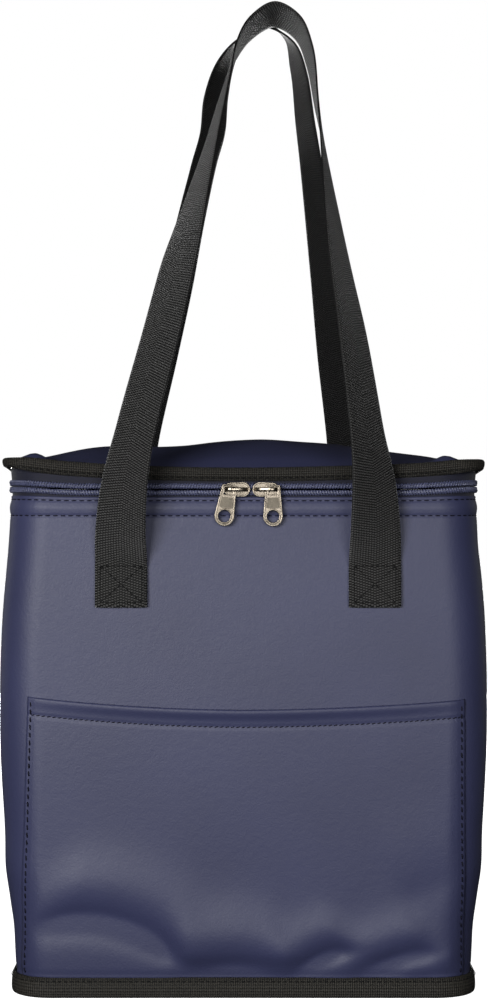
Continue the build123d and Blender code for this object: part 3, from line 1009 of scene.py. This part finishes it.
def make_pocket_stitches():
    """Side rows and the hem row."""
    rows = []
    for side in (0, 1):
        z = np.linspace(POCKET_LOW + 1.5, 172 - 2.5 * side, 120)
        share = np.full_like(z, abs(side - POCKET_ROW))
        curve = on_pocket(share, z, 0.3)
        rows.append(stitch_row(curve, facing(on_pocket, share, z), radius=0.5, slant=0.12))
    make_piece("pocket_side_stitches", merge(rows), "navy_thread", "bag")
    share = np.linspace(POCKET_ROW, 1 - POCKET_ROW, 260)
    z = pocket_top(share) - POCKET_HEM
    curve = on_pocket(share, z, -0.2)
    out = facing(on_pocket, share, z)
    row = stitch_row(curve, out, pitch=3.1, length=2.2, radius=0.3, slant=0.25)
    make_piece("pocket_hem_stitches", row, "navy_thread", "bag")


# ---- handles ----

# the back handle is drawn as if at the front, then mirrored
HANDLE_POINTS = [
    # front x, back x, y, z
    (-70.2, -75.4, -98.0, 270.0),
    (-67.5, -73.5, -105.5, 297.0),
    (-61.0, -68.5, -107.5, 328.0),
    (-47.3, -55.0, -99.5, 382.0),
    (-37.0, -43.5, -84.0, 427.0),
    (-28.4, -35.0, -65.0, 463.6),
    (-19.7, -25.5, -47.0, 500.0),
    (None, -19.5, -36.0, 520.0),
    (-10.0, -17.2, -28.5, 541.0),
    (-4.5, -11.5, -21.5, 560.0),
    (4.5, -1.5, -17.0, 574.5),
    (19.0, 13.0, -15.5, 583.0),
    (33.0, 28.0, -17.5, 574.5),
    (40.2, 34.5, -22.5, 556.0),
    (44.2, 39.0, -34.0, 526.0),
    (47.4, 43.3, -47.0, 500.0),
    (55.5, 53.5, -84.0, 427.0),
    (62.5, 59.5, -99.5, 382.0),
    (70.3, 67.2, -107.5, 325.0),
    (74.0, 69.4, -105.5, 297.0),
    (75.4, 70.2, -98.0, 270.0),
]
# x of the sewn ends
HANDLE_ENDS = {"front": (-70.4, 75.6), "back": (-75.6, 70.4)}
# degrees that the webbing has turned edge-on, at these heights of its left and right legs
TWIST_Z = [252, 262, 322, 382, 427, 464, 500, 540, 565, 583]
TWISTS = {
    "front": ([0, 12, 38, 42, 46, 60, 71, 78, 88, 90], [0, 12, 47, 55, 63, 72, 82, 93, 94, 90]),
    "back": ([0, 12, 38, 44, 50, 55, 60, 60, 70, 90], [0, 12, 42, 48, 56, 60, 64, 70, 73, 90]),
}
LEAN = math.radians(17.7)
END_MIDDLE = 240.0


def handle_path(side):
    """Centre line of a handle from one folded sewn end to the other."""
    end = [(END_HIGH - 1.5, 0.85), (END_MIDDLE, 0.85), (END_LOW + 2.0, 0.85)]
    end += [(END_LOW + 0.75, 1.2), (END_LOW + 0.7, 2.0)]
    end += [(END_LOW + 2.0, 2.45), (END_MIDDLE, 2.45), (END_HIGH, 2.6)]
    z, lift = np.transpose(end)
    left, right = [front_at(x, z, lift) for x in HANDLE_ENDS[side]]
    column = 0 if side == "front" else 1
    middle = [(row[column], *row[2:]) for row in HANDLE_POINTS if row[column] is not None]
    return np.concatenate([left, middle, right[::-1]])


def handle_rings(curve, twists):
    """Cross sections of the webbing, edge-on at the top of the loop."""
    along = unit(np.gradient(curve, axis=0))
    z = curve[:, 2]
    left = np.arange(len(curve)) < np.argmax(z)
    twist = np.where(left, np.interp(z, TWIST_Z, twists[0]), np.interp(z, TWIST_Z, twists[1]))
    # the twist changes gradually, and the sewn ends lie flat on the wall
    kernel = np.hanning(31)
    padded = np.pad(twist, len(kernel) // 2, mode="edge")
    twist = np.radians(np.convolve(padded, kernel / kernel.sum(), mode="valid"))
    twist = np.where(z < 250, 0.0, twist)[:, None]
    sideways = np.where(left, 1.0, -1.0)[:, None] * [1.0, 0.0, 0.0]
    inward = np.where((z < 256)[:, None], sideways, np.cross([0.0, 1.0, 0.0], along))
    inward = unit(inward - along * (inward * along).sum(1, keepdims=True))
    lean = np.array([0.0, -math.cos(LEAN), math.sin(LEAN)])
    leaned = unit(lean - along * (along @ lean)[:, None])
    width_way = unit(inward * np.cos(twist) + leaned * np.sin(twist))
    face_way = unit(np.cross(along, width_way))
    across = np.linspace(-1, 1, 15)
    half = WEBBING / 2 * (1 - 0.45 * np.abs(across) ** 8)
    ring_w = np.concatenate([across, across[::-1]])[:, None] * WEBBING_WIDTH / 2
    ring_t = np.concatenate([half, -half[::-1]])[:, None]
    return curve[:, None] + width_way[:, None] * ring_w + face_way[:, None] * ring_t


def webbing_uvs(rings, run):
    """UVs with the width from 0 to 1 on both faces and the length in the same unit."""
    half = rings.shape[1] // 2
    u = np.concatenate([np.linspace(0, 1, half), np.linspace(1, 0, half), [0.0]])
    caps = np.zeros((4 * half, 2))
    return np.concatenate([grid_uvs(u, run / WEBBING_WIDTH), caps])


def box_stitches(middle_x):
    """Sewn box with its cross, on a handle's end."""
    half = WEBBING_WIDTH / 2 - 3.0
    low = END_LOW + 3.4
    high = END_HIGH - 2.2
    corners = {"a": (-half, low), "b": (half, low), "c": (half, high), "d": (-half, high)}
    share = np.linspace(0, 1, 40)
    rows = []
    for start, end in ("ab", "bc", "cd", "da", "ac", "bd"):
        x = middle_x + mix(corners[start][0], corners[end][0], share)
        z = mix(corners[start][1], corners[end][1], share)
        curve = front_at(x, z, 3.28)
        out = facing(front_at, x, z)
        rows.append(stitch_row(curve, out, pitch=3.0, length=2.3, radius=0.34))
    return rows


def back_stand(points):
    """Mirror to the back, keeping the same distance from the wall, whose folds differ a little."""
    moved = points * [1.0, -1.0, 1.0]
    x = moved[..., 0]
    z = moved[..., 2]
    half_x, _ = half_sizes(z)
    wall_y = back_at(x / (half_x - CORNER), z)[..., 1]
    moved[..., 1] += smoothstep(262, 252, z) * (wall_y + front_at(x, z, 0.0)[..., 1])
    return moved


def make_handles():
    """Both handles: one strip of webbing each, sewn flat at its two folded ends."""
    # the back handle takes the darker copy of the webbing: painted shade
    for side, look, turned in (("front", "webbing", np.asarray), ("back", "painted_shade_webbing", back_stand)):
        curve = spline(handle_path(side), 620)
        rings = handle_rings(curve, TWISTS[side])
        points, faces, _ = tube(turned(rings))
        run = np.linspace(0, run_lengths(curve)[-1], len(curve))
        shape = (points, faces, webbing_uvs(rings, run))
        ends = f"handle_{side}_ends"
        strap = make_piece(f"strap_{side}", shape, look, None, f"handle_{side}_webbing", ends)
        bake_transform(strap)
        points, faces = merge([row for x in HANDLE_ENDS[side] for row in box_stitches(x)])
        make_piece(f"strap_{side}_stitches", (turned(points), faces), "black_thread", "bag")


# ---- sliders and pulls ----


def rounded_plate(outlines, low_y, high_y, bevel):
    """Plate in the XZ plane with rounded edges; the first outline is its rim, the rest holes."""
    curve = bpy.data.curves.new("outline", "CURVE")
    curve.dimensions = "2D"
    curve.fill_mode = "BOTH"
    curve.extrude = (high_y - low_y) / 2 - bevel
    curve.bevel_depth = bevel
    curve.bevel_resolution = 2
    curve.offset = -bevel
    for points in outlines:
        line = curve.splines.new("POLY")
        line.points.add(len(points) - 1)
        for target, (x, z) in zip(line.points, points):
            target.co = (x, z, 0.0, 1.0)
        line.use_cyclic_u = True
    holder = bpy.data.objects.new("outline", curve)
    mesh = bpy.data.meshes.new_from_object(holder)
    points = np.array([v.co for v in mesh.vertices])
    faces = [list(face.vertices) for face in mesh.polygons]
    bpy.data.objects.remove(holder)
    bpy.data.curves.remove(curve)
    bpy.data.meshes.remove(mesh)
    return points_at(points[:, 0], (low_y + high_y) / 2 - points[:, 2], points[:, 1]), faces


def arc(x, z, radius, start, end, count=20):
    """Points on an arc, from one angle in degrees to another."""
    turn = np.radians(np.linspace(start, end, count))
    return [(x + radius * math.cos(a), z + radius * math.sin(a)) for a in turn]


def rectangle(x0, z0, x1, z1):
    return [(x0, z0), (x1, z0), (x1, z1), (x0, z1)]


def hull_outline(nose, tail, shrink=0.0):
    """Egg-shaped outline from two circles (x, radius) on one axis, nose towards +X."""
    tilt = math.degrees(math.asin((nose[1] - tail[1]) / (nose[0] - tail[0])))
    right = arc(nose[0], 0, nose[1] - shrink, -90 - tilt, 90 + tilt)
    return right + arc(tail[0], 0, tail[1] - shrink, 90 + tilt, 270 - tilt)


def swept_bar(path, width, depth):
    """Rounded bar along a path of (x, y, z) points in a plane of constant z, width along Z."""
    curve = spline(path, 40)
    out = np.cross(unit(np.gradient(curve, axis=0)), UP)
    turn = full_turn(10)
    ring_w = squarer(np.cos(turn), 0.6)[:, None] * width / 2
    ring_d = squarer(np.sin(turn), 0.8)[:, None] * depth / 2
    return tube(curve[:, None] + UP * ring_w + out[:, None] * ring_d)


def slider_mesh():
    """Left slider about its own middle: shell, rim, window, bridge and the plate behind."""
    face = -88.2
    hull = hull_outline((3.4, 4.3), (-3.75, 4.0))
    hole = hull_outline((3.4, 4.3), (-3.75, 4.0), 1.0)[::-1]
    bridge = [(-6.9, face, 0), (-6.3, face - 2.2, 0), (-4.2, face - 3.5, 0), (-0.5, face - 3.3, 0)]
    bridge += [(3.6, face - 2.2, 0), (6.0, face - 0.4, 0), (6.4, face + 0.4, 0)]
    parts = [
        rounded_plate([hull], face + 0.5, -86.8, 0.25),
        rounded_plate([hull, hole], face - 0.2, face + 0.7, 0.25),
        rounded_plate([hull], -83.4, -82.4, 0.2),
        rounded_plate([rectangle(0.6, -0.22, 6.8, 0.22)], -87.0, -83.2, 0.05),
        swept_bar(bridge, 2.3, 1.0),
    ]
    return merge(parts)


def pull_mesh():
    """Pull tab with its bar at the origin: plate with window and eye, rims and bar; and its field."""
    half_top = 4.25
    corner = 0.9
    round_z = -17.5
    round_radius = 5.7
    slope = math.degrees(math.atan2(round_radius - half_top, -round_z))
    rim = arc(0, round_z, round_radius, 180 - slope, 360 + slope, 40)
    rim += arc(half_top - corner, -0.2, corner, 0, 90, 6)
    rim += arc(corner - half_top, -0.2, corner, 90, 180, 6)
    eye = arc(0, round_z, 3.5, 0, 352, 44)
    plate = rounded_plate([rim, rectangle(-2.6, -0.9, 2.6, -5.2), eye], -0.7, 0.7, 0.25)
    eye_rim = rounded_plate([arc(0, round_z, 4.4, 0, 352, 44), eye], -0.95, 0.95, 0.3)
    places = np.linspace(0, len(rim) - 1, 60)
    x, z = [np.interp(places, np.arange(len(rim)), values) for values in np.transpose(rim)]
    inner_z = round_z + (z - round_z) * np.where(z < round_z, 0.80, 0.955)
    edges = [np.stack([x, z], axis=1), np.stack([x * 0.80, inner_z], axis=1)[::-1]]
    raised = rounded_plate(edges, -0.95, 0.2, 0.3)
    bar = round_bar([(-4.2, 0.5), (-3.9, 0.8), (3.9, 0.8), (4.2, 0.5)], 14)
    field = [(-3.3, -6.6), (3.3, -6.6), (4.0, -12.2), (2.6, -12.9), (-2.6, -12.9), (-4.0, -12.2)]
    textured = rounded_plate([field], -0.82, 0.0, 0.08)
    return merge([plate, eye_rim, raised, bar]), textured


def turn_about_y(points, degrees):
    """Points turned about the Y axis, Z towards X."""
    a = math.radians(degrees)
    x = points[:, 0] * math.cos(a) + points[:, 2] * math.sin(a)
    z = points[:, 2] * math.cos(a) - points[:, 0] * math.sin(a)
    return points_at(x, points[:, 1], z)


def make_zip_hardware():
    """Sliders nose to nose, each with its hanging pull."""
    points, faces = slider_mesh()
    pull, textured = pull_mesh()
    for side, flip, tilt in (("left", 1, 10.0), ("right", -1, 0.0)):
        middle_x = np.mean(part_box(f"slider_{side}"), axis=0)[0] / MM
        placed = points * [flip, 1, 1] + [middle_x, 0.0, ZIP_Z]
        make_piece(f"slider_{side}_body", (placed, faces), "nickel", f"slider_{side}", f"slider_{side}")
        pivot = [middle_x - flip * 4.2, -89.8, ZIP_Z + 1.9]
        tab = (turn_about_y(pull[0], tilt) + pivot, pull[1])
        make_piece(f"pull_{side}_tab", tab, "nickel", f"pull_{side}", f"pull_{side}")
        field = (turn_about_y(textured[0], tilt) + pivot, textured[1])
        make_piece(f"pull_{side}_field", field, "textured_nickel", f"pull_{side}")


# ---- studio ----

LAMPS = [
    # name, place, width, height, watts
    ("key", (-0.66, -1.52, 0.50), 0.8, 0.5, 25.0),
    ("fill", (0.52, -1.85, 0.40), 0.7, 0.5, 11.5),
    ("behind", (0.0, 1.9, 0.16), 1.2, 0.3, 36.0),
    ("left", (-1.6, 1.1, 0.5), 1.2, 1.0, 3.0),
    ("right", (1.6, 1.1, 0.5), 1.2, 1.0, 1.8),
]
LAMP_TARGET = (0.0, 0.0, 0.22)
FLOOR_REACH = 6


def make_floor():
    """White floor that glows evenly and lights nothing itself."""
    mesh = bpy.data.meshes.new("studio_floor")
    corners = rectangle(-FLOOR_REACH, -FLOOR_REACH, FLOOR_REACH, FLOOR_REACH)
    mesh.from_pydata([(x, y, 0) for x, y in corners], [], [[0, 1, 2, 3]])
    floor = add_object("studio_floor", mesh)
    white = Shader("studio_white", (0.9, 0.9, 0.9), 0.9, specular=0.1)
    mesh.materials.append(white.material)
    white.surface.inputs["Emission Color"].default_value = (1, 1, 1, 1)
    white.surface.inputs["Emission Strength"].default_value = 1.0
    floor.visible_diffuse = False
    floor.visible_glossy = False


def make_lamps():
    """Soft lamps at the front, behind and at both sides, all aimed at the bag."""
    for name, place, width, height, watts in LAMPS:
        data = bpy.data.lights.new(name, "AREA")
        data.shape = "RECTANGLE"
        data.size = width
        data.size_y = height
        data.energy = watts
        lamp = add_object(name, data)
        lamp.location = place
        x, y, z = np.subtract(LAMP_TARGET, place)
        lamp.rotation_euler = (math.atan2(math.hypot(x, y), -z), 0.0, math.atan2(y, x) - math.pi / 2)
    bpy.context.scene.view_settings.view_transform = "Standard"


def make_world():
    """White studio surround for the camera, which lights the bag only softly, from above."""
    world = bpy.data.worlds.new("studio_world")
    world.use_nodes = True
    nodes = world.node_tree.nodes
    wire = world.node_tree.links.new
    white = nodes["Background"]
    white.inputs["Color"].default_value = (1, 1, 1, 1)
    soft = nodes.new("ShaderNodeBackground")
    split = nodes.new("ShaderNodeSeparateXYZ")
    wire(nodes.new("ShaderNodeTexCoord").outputs["Generated"], split.inputs[0])
    height = nodes.new("ShaderNodeMapRange")
    height.inputs["From Min"].default_value = 0.35
    height.inputs["To Min"].default_value = 0.01
    height.inputs["To Max"].default_value = 0.05
    wire(split.outputs["Z"], height.inputs["Value"])
    wire(height.outputs[0], soft.inputs["Strength"])
    choose = nodes.new("ShaderNodeMixShader")
    wire(nodes.new("ShaderNodeLightPath").outputs["Is Camera Ray"], choose.inputs[0])
    wire(soft.outputs[0], choose.inputs[1])
    wire(white.outputs[0], choose.inputs[2])
    wire(choose.outputs[0], nodes["World Output"].inputs["Surface"])
    bpy.context.scene.world = world


def make_camera():
    """Level camera straight in front, at the height of the zip."""
    distance = 1.250
    picture_height = 0.577
    front = -0.085
    data = bpy.data.cameras.new("camera")
    data.sensor_fit = "VERTICAL"
    data.sensor_height = 36.0
    data.lens = data.sensor_height * distance / picture_height
    camera = add_object("camera", data)
    camera.location = (0.0003, front - distance, 0.2873)
    camera.rotation_euler = (math.pi / 2, 0.0, 0.0)
    bpy.context.scene.camera = camera


make_camera()
make_floor()
make_world()
make_lamps()
make_body_cloth()
make_wall_stitches()
make_back_seams()
make_base()
make_lining()
make_base_binding()
make_pocket()
make_pocket_stitches()
make_zip()
make_rear_strip()
make_zip_ends()
make_lid_pad()
make_lid_lining()
make_lid_binding()
make_handles()
make_zip_hardware()
